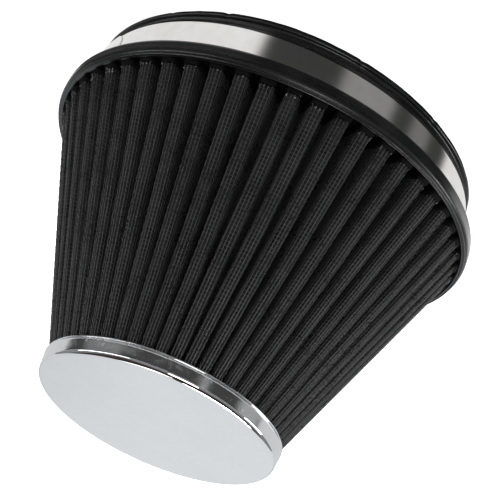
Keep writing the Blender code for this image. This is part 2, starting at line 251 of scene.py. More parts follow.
def crest_angles(z):
    """Angle of each crest at each height, shape (pleat, height).

    The crests are evenly spaced, lean over near the cap with the square of the height,
    and wander a little: each is the sum of a constant and two slow waves of its own.
    """
    share = np.clip(height_share(z), 0, 1.05)[None, :]
    even = FIRST_CREST + PITCH * np.arange(PLEAT_COUNT)[:, None]
    slow = np.sin(2.2 * math.pi * share + PLEAT_PHASE[:, :1])
    slower = np.sin(1.1 * math.pi * share + PLEAT_PHASE[:, 1:])
    free = np.sqrt(np.clip(np.sin(math.pi * np.clip(share, 0, 1)), 0, 1)) * 0.6 + 0.4
    wander = WANDER * (0.5 * PLEAT_OFFSET[:, None] + 0.5 * slow + 0.5 * slower) * free
    return even + LEAN_AT_CAP * share**2 + wander


def pleat_corners(z, depth):
    """Corners of each pleat's section, shape (corner, pleat, height, xyz).

    In order they are the crest's middle, its far edge, both sides of the valley's
    bottom, the next crest's near edge and its middle. depth is how far the layer lies
    under the pleated face, measured square to it.
    """
    crest_at = crest_angles(z)
    next_at = np.concatenate([crest_at[1:], crest_at[:1] + 2 * math.pi])
    valley_at = (crest_at + next_at) / 2
    crest_r = np.broadcast_to(crest_radius(z) - depth, crest_at.shape)
    valley_r = crest_r - PLEAT_HEIGHT
    half_crest = np.broadcast_to(crest_width(z) / 2 - depth, crest_at.shape)
    half_valley = VALLEY_WIDTH / 2 + depth

    def place(angle, radius, aside):
        x = radius * np.cos(angle) - aside * np.sin(angle)
        y = radius * np.sin(angle) + aside * np.cos(angle)
        return np.stack([x, y, np.broadcast_to(z, x.shape)], axis=-1)

    return np.stack(
        [
            place(crest_at, crest_r + CREST_BULGE, 0.0),
            place(crest_at, crest_r, half_crest),
            place(valley_at, valley_r, -half_valley),
            place(valley_at, valley_r, half_valley),
            place(next_at, crest_r, -half_crest),
            place(next_at, crest_r + CREST_BULGE, 0.0),
        ]
    )


def section_weights(shares):
    """How much of each corner makes the point at each share of a pleat's length.

    The section is the line through the six corners with its four inner corners
    rounded by parabolas. Each point of it is a mix of corners, so the mix found on a
    pleat of middle size serves for all of them. shape (point, corner).
    """
    corner = np.eye(6)
    cut_before = (0.0, 0.42, 0.09, 0.5, 0.09, 0.0)
    cut_after = (0.0, 0.09, 0.5, 0.09, 0.42, 0.0)
    steps = np.linspace(0, 1, 9)[:, None]
    mixes = [corner[:1]]
    for k in range(1, 5):
        start = corner[k] + (corner[k - 1] - corner[k]) * cut_before[k]
        end = corner[k] + (corner[k + 1] - corner[k]) * cut_after[k]
        mixes.append((1 - steps) ** 2 * start + 2 * steps * (1 - steps) * corner[k] + steps**2 * end)
    mixes.append(corner[5:])
    mixes = np.concatenate(mixes)
    middle_z = np.array([(RING_TOP_Z + CAP_RIM_Z) / 2])
    flat = pleat_corners(middle_z, 0.0)[:, 0, 0, :2]
    line = mixes @ flat
    length = np.concatenate([[0], np.cumsum(np.linalg.norm(np.diff(line, axis=0), axis=1))])
    at = np.asarray(shares) * length[-1]
    return np.stack([np.interp(at, length, mixes[:, c]) for c in range(6)], axis=1)


def pleated(shares, z, depth):
    """Points of the pleated form, shape (pleat times share, height, xyz)."""
    mixed = np.einsum("sc,cphx->pshx", section_weights(shares), pleat_corners(z, depth))
    return mixed.reshape(-1, len(z), 3)


def openness(shares):
    """1 on a crest, falling evenly to 0 a quarter of the way down a flank's cloth: the mask of the wires'
    painted shade.
    """
    from_crest = np.minimum(shares, 1 - shares)
    return np.clip((OPEN_END - from_crest) / (OPEN_END - OPEN_START), 0, 1)


def outward_normals(points):
    """Normals of a closed ring of points, shape (round, height, xyz), facing out."""
    round_step = np.roll(points, -1, axis=0) - np.roll(points, 1, axis=0)
    height_step = np.gradient(points, axis=1)
    return unit(np.cross(round_step, height_step))


# --- node groups


def new_group(name, inputs, outputs):
    """A shader node group with its named inputs and outputs, and its two end nodes."""
    group = bpy.data.node_groups.new(name, "ShaderNodeTree")
    for label, kind, value in inputs:
        socket = group.interface.new_socket(name=label, in_out="INPUT", socket_type="NodeSocket" + kind)
        if value is not None:
            socket.default_value = value
    for label, kind in outputs:
        group.interface.new_socket(name=label, in_out="OUTPUT", socket_type="NodeSocket" + kind)
    return group, group.nodes.new("NodeGroupInput"), group.nodes.new("NodeGroupOutput")


def add_node(tree, kind, values=(), **settings):
    """A shader node with settings, and with values on its inputs by name or number."""
    made = tree.nodes.new("ShaderNode" + kind)
    for key, value in settings.items():
        setattr(made, key, value)
    for key, value in dict(values).items():
        made.inputs[key].default_value = value
    return made


def link(tree, output, target):
    tree.links.new(output, target)


def maths(tree, operation, *terms, clamp=False):
    """The result of a sum on some terms, each a socket or a number."""
    made = add_node(tree, "Math", operation=operation, use_clamp=clamp)
    for k, term in enumerate(terms):
        if isinstance(term, bpy.types.NodeSocket):
            link(tree, term, made.inputs[k])
        else:
            made.inputs[k].default_value = term
    return made.outputs[0]


def make_grain_group():
    """Mottling of two sizes: Mask runs from 0 to 1 round a half, Height is the finer one."""
    group, inside, outside = new_group(
        "grain",
        [("Vector", "Vector", None), ("Scale", "Float", 1500.0), ("Contrast", "Float", 1.0)],
        [("Mask", "Float"), ("Height", "Float")],
    )
    fine_scale = inside.outputs["Scale"]
    sizes = []
    for detail, scale in ((4.0, fine_scale), (2.0, maths(group, "MULTIPLY", fine_scale, 0.12))):
        noise = add_node(group, "TexNoise", {"Detail": detail})
        link(group, inside.outputs["Vector"], noise.inputs["Vector"])
        link(group, scale, noise.inputs["Scale"])
        sizes.append(noise.outputs["Fac"])
    centred = maths(group, "SUBTRACT", maths(group, "ADD", *sizes), 1.0)
    spread = maths(group, "MULTIPLY", centred, inside.outputs["Contrast"])
    link(group, maths(group, "ADD", spread, 0.5, clamp=True), outside.inputs["Mask"])
    link(group, sizes[0], outside.inputs["Height"])
    return group


def make_speck_group():
    """Small specks thrown on a surface: Mask is 1 on a speck and 0 between them."""
    group, inside, outside = new_group(
        "specks",
        [("Vector", "Vector", None), ("Scale", "Float", 400.0), ("Size", "Float", 0.1)],
        [("Mask", "Float")],
    )
    cells = add_node(group, "TexVoronoi")
    link(group, inside.outputs["Vector"], cells.inputs["Vector"])
    link(group, inside.outputs["Scale"], cells.inputs["Scale"])
    chance = add_node(group, "SeparateColor")
    link(group, cells.outputs["Color"], chance.inputs[0])
    near = maths(group, "LESS_THAN", cells.outputs["Distance"], inside.outputs["Size"])
    rare = maths(group, "GREATER_THAN", chance.outputs[0], 0.8)
    link(group, maths(group, "MULTIPLY", near, rare), outside.inputs["Mask"])
    return group


GRAIN = make_grain_group()
SPECKS = make_speck_group()


def start_material(name, plain_values=()):
    """A material with its node tree and its shader, on which plain values are set by name."""
    material = bpy.data.materials.new(name)
    material.use_nodes = True
    tree = material.node_tree
    shader = tree.nodes["Principled BSDF"]
    for key, value in dict(plain_values).items():
        shader.inputs[key].default_value = value
    return material, tree, shader


def place_group(tree, group, stretch, values):
    """A node group on the piece's own coordinates, stretched if need be."""
    vector = add_node(tree, "TexCoord").outputs["Object"]
    if stretch:
        mapping = add_node(tree, "Mapping", {"Scale": stretch})
        link(tree, vector, mapping.inputs["Vector"])
        vector = mapping.outputs["Vector"]
    made = tree.nodes.new("ShaderNodeGroup")
    made.node_tree = group
    for key, value in values.items():
        made.inputs[key].default_value = value
    link(tree, vector, made.inputs["Vector"])
    return made.outputs


def grain_on(tree, scale, contrast, stretch=None):
    """The mask and the height of a grain."""
    made = place_group(tree, GRAIN, stretch, {"Scale": scale, "Contrast": contrast})
    return made["Mask"], made["Height"]


def specks_on(tree, scale, size):
    return place_group(tree, SPECKS, None, {"Scale": scale, "Size": size})["Mask"]


def colours_by(tree, mask, low, high):
    """A colour between low and high, each a colour or a socket, by a mask."""
    mix = add_node(tree, "Mix", data_type="RGBA")
    for key, colour in (("A", low), ("B", high)):
        if isinstance(colour, bpy.types.NodeSocket):
            link(tree, colour, mix.inputs[key])
        else:
            mix.inputs[key].default_value = (*colour, 1.0)
    link(tree, mask, mix.inputs["Factor"])
    return mix.outputs["Result"]


def values_by(tree, mask, low, high):
    """A number between low and high, by a mask."""
    ramp = add_node(tree, "MapRange", {"To Min": low, "To Max": high})
    link(tree, mask, ramp.inputs["Value"])
    return ramp.outputs["Result"]


def paint(tree, shader, mask, low, high):
    """Vary the shader's colour between two colours by a mask."""
    link(tree, colours_by(tree, mask, low, high), shader.inputs["Base Color"])


def roughen(tree, shader, mask, low, high):
    """Vary the shader's roughness between two values by a mask."""
    link(tree, values_by(tree, mask, low, high), shader.inputs["Roughness"])


def bump(tree, shader, height, distance, strength):
    made = add_node(tree, "Bump", {"Strength": strength, "Distance": distance})
    link(tree, height, made.inputs["Height"])
    link(tree, made.outputs["Normal"], shader.inputs["Normal"])


# --- materials


def make_chrome():
    """Bright plating: nearly a mirror, with haze, fine scratches and a few specks.

    Below the cap's rounded edge its wall is also smeared and scuffed: both are masks on
    the roughness, times how far down the wall a place is.
    """
    material, tree, shader = start_material("chrome_plate", {"Metallic": 1.0})
    haze, _ = grain_on(tree, 420.0, 1.6)
    plating = colours_by(tree, haze, (0.765, 0.775, 0.785), (0.80, 0.81, 0.82))
    paint(tree, shader, specks_on(tree, 260.0, 0.055), plating, (0.56, 0.58, 0.60))
    height = add_node(tree, "SeparateXYZ")
    link(tree, add_node(tree, "TexCoord").outputs["Object"], height.inputs[0])
    wall = {"From Min": CAP_TOP_Z - 3.0 * MM, "From Max": CAP_TOP_Z - 1.6 * MM, "To Min": 1.0, "To Max": 0.0}
    on_wall = add_node(tree, "MapRange", wall)
    link(tree, height.outputs["Z"], on_wall.inputs["Value"])
    on_wall = on_wall.outputs["Result"]
    scuffs = maths(tree, "MULTIPLY", maths(tree, "MULTIPLY", specks_on(tree, 480.0, 0.30), on_wall), 0.16)
    smears = maths(tree, "MULTIPLY", grain_on(tree, 330.0, 3.5)[0], on_wall)
    smeared = maths(tree, "MULTIPLY_ADD", smears, 0.20, values_by(tree, haze, 0.012, 0.05))
    link(tree, maths(tree, "ADD", smeared, scuffs), shader.inputs["Roughness"])
    _, scratches = grain_on(tree, 900.0, 1.0, (1.0, 1.0, 9.0))
    bump(tree, shader, scratches, 0.0000012, 0.35)
    return material


def make_stainless():
    """Rolled strip: fine lines along it, so its shine spreads across it."""
    material, tree, shader = start_material("stainless_strip", {"Metallic": 1.0})
    lines, line_height = grain_on(tree, 2600.0, 1.5, (0.02, 0.02, 3.0))
    haze, _ = grain_on(tree, 260.0, 1.6)
    paint(tree, shader, haze, (0.70, 0.69, 0.67), (0.78, 0.775, 0.76))
    roughen(tree, shader, lines, 0.07, 0.16)
    bump(tree, shader, line_height, 0.000004, 0.6)
    return material


def make_plated_steel():
    """Zinc-plated steel: satin, slightly warm and blotchy."""
    material, tree, shader = start_material("plated_steel", {"Metallic": 1.0})
    haze, height = grain_on(tree, 700.0, 1.8)
    paint(tree, shader, haze, (0.52, 0.51, 0.48), (0.68, 0.67, 0.64))
    roughen(tree, shader, haze, 0.22, 0.38)
    bump(tree, shader, height, 0.00001, 0.4)
    return material


def make_urethane():
    """Moulded soft black urethane: fine lines round it, dust and small pits."""
    material, tree, shader = start_material("black_urethane", {"Specular IOR Level": 0.45})
    grain, grain_height = grain_on(tree, 900.0, 1.8)
    rings, ring_height = grain_on(tree, 1500.0, 1.5, (0.06, 0.06, 1.6))
    black = colours_by(tree, grain, (0.0030, 0.0033, 0.0036), (0.0085, 0.0088, 0.0092))
    paint(tree, shader, specks_on(tree, 500.0, 0.12), black, (0.045, 0.046, 0.047))
    roughen(tree, shader, rings, 0.20, 0.36)
    bump(tree, shader, maths(tree, "ADD", grain_height, ring_height), 0.00006, 0.55)
    return material


def make_coated_wire():
    """Black coating on the wires, glossy with a random grain; painted shade makes it darker and less shiny
    away from the crests.
    """
    material, tree, shader = start_material("coated_wire")
    grain, _ = grain_on(tree, 700.0, 2.0)
    # The wires' open mark, 1 on the crests and 0 down the flanks, drives the painted shade below.
    painted_light_mask = add_node(tree, "Attribute", attribute_name="open").outputs["Fac"]
    crest_colour_painted_lit = colours_by(tree, grain, (0.012, 0.012, 0.0125), (0.044, 0.044, 0.043))
    # Painted shade: the colour falls to near black away from the crests.
    paint(tree, shader, painted_light_mask, (0.006, 0.006, 0.0063), crest_colour_painted_lit)
    roughen(tree, shader, grain, 0.24, 0.40)
    # Painted shade: the shine falls away from the crests too.
    link(tree, values_by(tree, painted_light_mask, 0.25, 1.0), shader.inputs["Specular IOR Level"])
    return material


def make_cotton():
    """Black oiled gauze: woven threads along and across the cloth, on its own map."""
    plain = {"Roughness": 0.78, "Sheen Weight": 0.08, "Specular IOR Level": 0.15}
    material, tree, shader = start_material("oiled_cotton", plain)
    place = add_node(tree, "UVMap", uv_map="cloth")
    threads = []
    for direction in "XY":
        thread = add_node(tree, "TexWave", {"Scale": 620.0, "Distortion": 1.2, "Detail": 2.0},
                          wave_type="BANDS", bands_direction=direction)
        link(tree, place.outputs["UV"], thread.inputs["Vector"])
        threads.append(thread.outputs["Fac"])
    weave = maths(tree, "MAXIMUM", *threads)
    mixed = maths(tree, "MULTIPLY", weave, grain_on(tree, 1200.0, 2.0)[0])
    paint(tree, shader, mixed, (0.008, 0.008, 0.0084), (0.030, 0.030, 0.031))
    bump(tree, shader, weave, 0.00008, 0.8)
    return material


def make_resin():
    """Drops of clear-coated black resin squeezed up the wires."""
    material, tree, shader = start_material("resin_drop", {"Coat Weight": 0.6})
    grain, _ = grain_on(tree, 900.0, 1.5)
    paint(tree, shader, grain, (0.05, 0.05, 0.05), (0.22, 0.22, 0.21))
    roughen(tree, shader, grain, 0.10, 0.22)
    return material


def make_dull_resin():
    """Matt black resin, a little uneven."""
    material, tree, shader = start_material("dull_resin", {"Specular IOR Level": 0.08})
    grain, height = grain_on(tree, 800.0, 1.8)
    paint(tree, shader, grain, (0.0015, 0.0015, 0.0016), (0.006, 0.006, 0.0062))
    roughen(tree, shader, grain, 0.5, 0.8)
    bump(tree, shader, height, 0.0003, 0.7)
    return material


CHROME = make_chrome()
STAINLESS = make_stainless()
PLATED_STEEL = make_plated_steel()
URETHANE = make_urethane()
COATED_WIRE = make_coated_wire()
COTTON = make_cotton()
RESIN = make_resin()
DULL_RESIN = make_dull_resin()


def finish_piece(obj, material, body, slot, *stands_for):
    """Give a piece its material and the body it rides on, and hide the nodes it stands for; slot is not
    used.
    """
    obj.data.materials.append(material)
    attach(obj, body)
    if stands_for:
        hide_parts(*stands_for)
    return obj


# --- pleated pack


def make_woven_screen(name, wires_per_pleat, rows, depth, splits):
    """A woven screen laid on the pleated form, in splits pieces each way.

    Each lengthwise wire runs up the pack and each crosswise wire runs round all the
    pleats. Where they cross, one stands out and the other in along the surface's
    normal, and the signs alternate like a chessboard. Each wire is marked with how open
    to the light it lies, for its material's painted shade: lengthwise ones more than
    crosswise ones, so the crosswise wires are painted darker.
    """
    sides = 4
    shares = (np.arange(wires_per_pleat) + 0.5) / wires_per_pleat
    points = pleated(shares, np.linspace(PLEAT_FOOT_Z + 0.4 * MM, PLEAT_TOP_Z, rows), depth)
    normals = outward_normals(points)
    wire, row = np.meshgrid(np.arange(len(points)), np.arange(rows), indexing="ij")
    sign = np.where((wire + row) % 2 == 0, 1.0, -1.0)[..., None]
    open_wires = np.tile(openness(shares), PLEAT_COUNT)
    lengthwise = points + normals * (sign * WEAVE_HEIGHT + PROUD)
    crosswise = points - normals * (sign * WEAVE_HEIGHT + PROUD)
    swap = (1, 0, 2)
    # Painted shade: crosswise wires are marked darker than lengthwise ones, and all are darker away from the
    # crests.
    for way, lines, ups, radius, closed, painted_light_marks in (
        ("lengthwise", lengthwise, normals, WIRE_RADIUS, False,
         np.broadcast_to((0.40 + 0.60 * open_wires)[:, None], (len(points), rows))),
        ("crosswise", crosswise.transpose(swap), normals.transpose(swap), CROSS_WIRE_RADIUS, True,
         np.broadcast_to(0.62 * open_wires, (rows, len(points)))),
    ):
        for k, part in enumerate(np.array_split(np.arange(len(lines)), splits)):
            piece = tubes("%s_%s_%d" % (name, way, k + 1), lines[part], ups[part], radius, sides, closed)
            mark_points(piece, "open", np.repeat(painted_light_marks[part], sides))
            finish_piece(piece, COATED_WIRE, "filter", "coated_wire", name)


def make_gauze():
    """The cotton gauze: one closed pleated cloth between the two screens.

    Its outer face, its inner face and the two cut edges make one closed skin. The map
    runs along the cloth's developed length and up its height, in metres.
    """
    samples = 18
    rows = 16
    shares = (np.arange(samples) + 0.5) / samples
    z = np.linspace(PLEAT_FOOT_Z, PLEAT_TOP_Z - 0.5 * MM, rows)
    outer = pleated(shares, z, GAUZE_OUTER_DEPTH)
    inner = pleated(shares, z, GAUZE_INNER_DEPTH)
    skin = np.concatenate([outer, inner[:, ::-1]], axis=1)
    faces = grid_quads(skin.shape[0], skin.shape[1], True, True)
    cloth = mesh_object("cotton_gauze_cloth", skin.reshape(-1, 3), faces)
    step = np.linalg.norm(np.roll(outer, -1, axis=0) - outer, axis=-1).mean(axis=1)
    run = np.concatenate([[0.0], np.cumsum(step)])
    column = np.concatenate([np.arange(len(step)), [len(step)]])
    u_index = faces // skin.shape[1]
    wrapped = (u_index.max(axis=1) - u_index.min(axis=1)) > 1
    u_index = np.where(wrapped[:, None] & (u_index == 0), len(step), u_index)
    heights = np.concatenate([z, z[::-1]])
    uv = np.stack([run[column[u_index]], heights[faces % skin.shape[1]]], axis=-1)
    layer = cloth.data.uv_layers.new(name="cloth")
    layer.data.foreach_set("uv", uv.astype(np.float32).ravel())
    weld_and_face_out(cloth.data)
    finish_piece(cloth, COTTON, "filter", "oiled_cotton", "cotton_gauze")
    return cloth


def make_resin_foot():
    """The skin of black resin that wets the pleats just above the ring.

    It follows the pleated form a little outside it. Its upper edge turns in to the
    wires, and is as high as a constant plus slow and quick waves round the ring.
    """
    samples = 26
    shares = (np.arange(samples) + 0.5) / samples
    rows = np.array([-1.6, 0.2, 0.6, 0.9, 1.1, 1.2]) * MM
    proud = np.array([0.55, 0.42, 0.34, 0.28, 0.16, -0.25]) * MM
    skin = np.stack(
        [pleated(shares, np.array([RING_TOP_Z + row]), -out)[:, 0] for row, out in zip(rows, proud)], axis=1
    )
    turn = full_turn(len(skin))
    waves = sum(
        rng.normal(0, 0.17) * np.cos(k * turn + rng.uniform(0, 2 * math.pi))
        for k in (3, 7, 19, 52, 77, 104, 141, 260)
    )
    rise = (waves + 0.45 * np.cos(turn + FIRST_CREST + math.radians(115.0))) * MM
    skin[..., 2] += rise[:, None] * np.clip(rows / rows[-1], 0, 1)[None]
    inner = skin[:, ::-1].copy()
    inner[..., :2] *= 1 - 0.9 * MM / CREST_RADIUS_AT_RING
    foot = grid_surface("resin_foot", np.concatenate([skin, inner], axis=1), wrap_u=True, wrap_v=True)
    return finish_piece(foot, DULL_RESIN, "filter", "black_urethane", "base_moulding")


def make_resin_drops():
    """Small round drops on the crest corners a little above the ring.

    Each is a ball of a few faces: centre plus radius times the unit ball.
    """
    sides = 8
    levels = 5
    corner_shares = np.array([0.03, 0.085, 0.915, 0.97])
    z = np.array([RING_TOP_Z + 1.2 * MM, RING_TOP_Z + 1.9 * MM, RING_TOP_Z + 2.8 * MM])
    spots = pleated(corner_shares, z, 0.0).reshape(-1, 3)
    chosen = rng.choice(len(spots), 190, replace=False)
    spots = spots[chosen]
    size = rng.uniform(0.18, 0.42, len(spots))[:, None, None] * MM
    lon = 2 * math.pi * np.arange(sides) / sides
    lat = np.linspace(-math.pi / 2, math.pi / 2, levels)
    ball = np.stack(
        [
            np.cos(lat)[:, None] * np.cos(lon)[None],
            np.cos(lat)[:, None] * np.sin(lon)[None],
            np.repeat(np.sin(lat)[:, None], sides, axis=1),
        ],
        axis=-1,
    ).reshape(-1, 3)
    points = spots[:, None] + ball[None] * size
    faces = grid_quads(levels, sides, False, True)[:, ::-1]
    shift = np.arange(len(spots))[:, None, None] * len(ball)
    drops = mesh_object("resin_drops", points.reshape(-1, 3), (faces[None] + shift).reshape(-1, 4))
    weld_and_face_out(drops.data)
    return finish_piece(drops, RESIN, "filter", "black_urethane", "base_moulding")


# --- turned pieces


def full_turn(steps):
    return 2 * math.pi * np.arange(steps) / steps


def make_cap():
    """The pressed cap: an outline carried round Z.

    Its face is very slightly crowned, its edge is a quarter circle, its wall leans in
    towards the face, and the rim is rolled over to the inside.
    """
    sheet = 0.8 * MM
    edge = 1.8 * MM
    draft = 0.5 * MM
    crown = 0.12 * MM
    rim_roll = 0.55 * MM
    face_radius = CAP_RADIUS - draft
    flat_end = face_radius - edge
    r = np.linspace(0.0, flat_end, 40)
    face = np.stack([r, CAP_TOP_Z - crown * (r / flat_end) ** 4], axis=1)
    edge_arc = arc((flat_end, CAP_TOP_Z - crown - edge), edge, 90.0, 2.0, 16)
    wall_top = edge_arc[-1]
    wall_low = np.array([CAP_RADIUS - 0.18 * MM, CAP_RIM_Z + 1.25 * MM])
    share = np.linspace(0, 1, 8)[1:, None]
    wall = wall_top + (wall_low - wall_top) * share
    rim = arc((CAP_RADIUS - rim_roll, CAP_RIM_Z + rim_roll), rim_roll, 62.0, -180.0, 18)
    inner_wall = np.array([[CAP_RADIUS - 2 * rim_roll, CAP_RIM_Z + 2.0 * MM]])
    inner_edge = arc((flat_end, CAP_TOP_Z - crown - edge), edge - sheet, 0.0, 90.0, 8)
    inner_face = np.array([[0.0, CAP_TOP_Z - sheet]])
    outline = np.concatenate([face, edge_arc[1:], wall, rim, inner_wall, inner_edge, inner_face])
    cap = grid_surface("chrome_end_cap", turned(outline, full_turn(288)), wrap_u=True)
    return finish_piece(cap, CHROME, "filter", "chrome_plate", "end_cap")


def scallop(angles):
    """1 on the crests and 0 between them."""
    phase = (angles - FIRST_CREST) / PITCH
    return 0.5 + 0.5 * np.cos(2 * math.pi * phase)


def make_base():
    """The ring and its neck, one moulding: an outline carried round Z.

    The ring's upper edge has two low ridges, which fade out on one side of it. Inside
    them the moulding runs up the crests and sinks between them by a cosine of 52 waves.
    The soft lip has a wavy edge with a few nicks. It is drawn in by a constant plus the
    size of a sine of the angle, and lifted by that sine's part.
    """
    ring_low = RING_LOW_Z
    mouth = 1.9 * MM
    lip_round = 1.0 * MM
    bore = 76.2 * MM
    stop_radius = 72.4 * MM
    stop_z = 20.0 * MM
    inner_top = RING_TOP_Z - 1.0 * MM
    top = RING_TOP_Z
    lines = [
        [(stop_radius, stop_z), (stop_radius, inner_top - 0.4 * MM), (stop_radius + 0.4 * MM, inner_top)],
        [(73.2 * MM, inner_top - 0.1 * MM)],
        [(83.5 * MM, inner_top - 0.5 * MM), (85.4 * MM, inner_top - 0.4 * MM), (86.1 * MM, inner_top)],
        [(86.6 * MM, top - 0.35 * MM), (86.95 * MM, top + 0.15 * MM)],
        arc((87.35 * MM, top + 0.12 * MM), 0.34 * MM, 150.0, 20.0, 7),
        [(87.80 * MM, top - 0.02 * MM), (87.95 * MM, top - 0.02 * MM)],
        arc((88.30 * MM, top - 0.20 * MM), 0.42 * MM, 130.0, 40.0, 6),
        arc((RING_RADIUS - 1.9 * MM, top - 2.1 * MM), 1.9 * MM, 58.0, 0.0, 9),
        [(RING_RADIUS - 0.02 * MM, top - 3.4 * MM), (RING_RADIUS - 0.16 * MM, ring_low + 2.3 * MM)],
        arc((RING_RADIUS - 1.7 * MM, ring_low + 1.6 * MM), 1.6 * MM, 0.0, -90.0, 9),
        [(84.0 * MM, ring_low), (NECK_RADIUS + 0.9 * MM, ring_low)],
        arc((NECK_RADIUS + 0.7 * MM, ring_low - 0.7 * MM), 0.7 * MM, 90.0, 180.0, 5),
        [(NECK_RADIUS, 19.0 * MM), (NECK_RADIUS, 14.0 * MM), (NECK_RADIUS, 8.0 * MM)],
        [(NECK_RADIUS, 3.3 * MM)],
        arc((LIP_RADIUS - lip_round, mouth), lip_round, 80.0, 10.0, 6),
        arc((LIP_RADIUS - mouth, mouth), mouth, 0.0, -90.0, 14),
        arc((bore + 0.8 * MM, 0.8 * MM), 0.8 * MM, -90.0, -180.0, 6),
        [(bore, stop_z - 0.4 * MM), (bore - 0.4 * MM, stop_z)],
    ]
    outline = even_steps(np.concatenate([np.asarray(line, dtype=float) for line in lines]), 1.6 * MM, True)
    angles = full_turn(PLEAT_COUNT * 14)
    points = turned(outline, angles)
    radius = outline[:, 0]
    height = outline[:, 1]
    inner_edge = np.clip((87.6 * MM - radius) / (1.2 * MM), 0, 1)
    inner_edge = inner_edge * np.clip((radius - 82.0 * MM) / (2.0 * MM), 0, 1) * (height > top - 2.0 * MM)
    one_side = 0.42 + 0.30 * np.cos(angles - math.radians(-15.0))
    climb = (scallop(angles) - 0.55) * one_side * 0.7 * MM
    points[..., 2] += climb[:, None] * inner_edge[None, :]
    ridged = np.clip(0.5 + 1.6 * np.cos(angles + math.radians(150.0)), 0, 1)
    ridge_foot = top - 0.02 * MM
    over = np.clip(height - ridge_foot, 0, None) * (radius > 86.8 * MM)
    points[..., 2] -= (1 - ridged)[:, None] * over[None, :]
    wobble = sum(
        rng.normal(0, 1.0 / (1 + 0.06 * k)) * np.cos(k * angles + rng.uniform(0, 2 * math.pi))
        for k in range(3, 60)
    )
    outside = radius > 78.0 * MM
    wavy_up_to = 4.2 * MM
    lip = np.clip((wavy_up_to - height) / wavy_up_to, 0, 1) * outside
    inward = -0.035 * MM * np.abs(wobble)[:, None] * lip[None, :]
    for place_deg, depth_mm in ((-62.0, 0.7), (-101.0, 0.55), (-128.0, 0.4), (-44.0, 0.35), (60.0, 0.6)):
        away = (angles - math.radians(place_deg) + math.pi) % (2 * math.pi) - math.pi
        inward = inward - depth_mm * MM * np.exp(-((away / math.radians(0.8)) ** 2))[:, None] * lip[None, :]
    squeezed_up_to = 5.5 * MM
    squeezed = 0.75 * np.abs(np.sin(angles + math.radians(80.0)))[:, None]
    drawn = np.clip((squeezed_up_to - height) / (2.0 * MM), 0, 1) * outside
    inward = inward - 1.15 * MM * (0.25 + squeezed) * drawn
    points[..., 2] += 0.8 * MM * squeezed * np.clip((squeezed_up_to - height) / squeezed_up_to, 0, 1)
    points[..., 0] += inward * np.cos(angles)[:, None]
    points[..., 1] += inward * np.sin(angles)[:, None]
    base = grid_surface("base_ring_and_neck", points, wrap_u=True, wrap_v=True)
    return finish_piece(base, URETHANE, "filter", "black_urethane", "base_moulding")


# --- clamp


def closed_strip(name, points):
    """A bar along a grid of points (along, round, xyz), with both of its ends closed."""
    first = np.repeat(points[:1].mean(axis=1, keepdims=True), points.shape[1], axis=1)
    last = np.repeat(points[-1:].mean(axis=1, keepdims=True), points.shape[1], axis=1)
    return grid_surface(name, np.concatenate([first, points, last]), wrap_v=True)


def strip_outline(inner, outer, low, high, edge):
    """Outline (radius, height) of a flat strip with rounded edges."""
    return np.concatenate(
        [
            arc((outer - edge, high - edge), edge, 0.0, 90.0, 5),
            arc((inner + edge, high - edge), edge, 90.0, 180.0, 3),
            arc((inner + edge, low + edge), edge, 180.0, 270.0, 3),
            arc((outer - edge, low + edge), edge, -90.0, 0.0, 5),
        ]
    )


def strip_sag(angles):
    """How far the strip has slipped down: a cosine hump that ends before the housing."""
    return 1.3 * MM * np.cos(np.clip(1.75 * (angles + math.radians(43.0)), -math.pi / 2, math.pi / 2))


def make_band():
    """The main loop: a flat strip's outline carried from one side of the housing to the other."""
    outline = strip_outline(81.8 * MM, BAND_RADIUS, BAND_LOW.z, BAND_HIGH.z, 0.3 * MM)
    outline = even_steps(outline, 1.5 * MM, True)
    angles = np.radians(np.linspace(33.0, 391.0, 420))
    points = turned(outline, angles)
    points[..., 2] -= strip_sag(angles - 2 * math.pi)[:, None]
    band = closed_strip("clamp_band_loop", points)
    return finish_piece(band, STAINLESS, "clamp", "stainless_strip", "clamp_band")


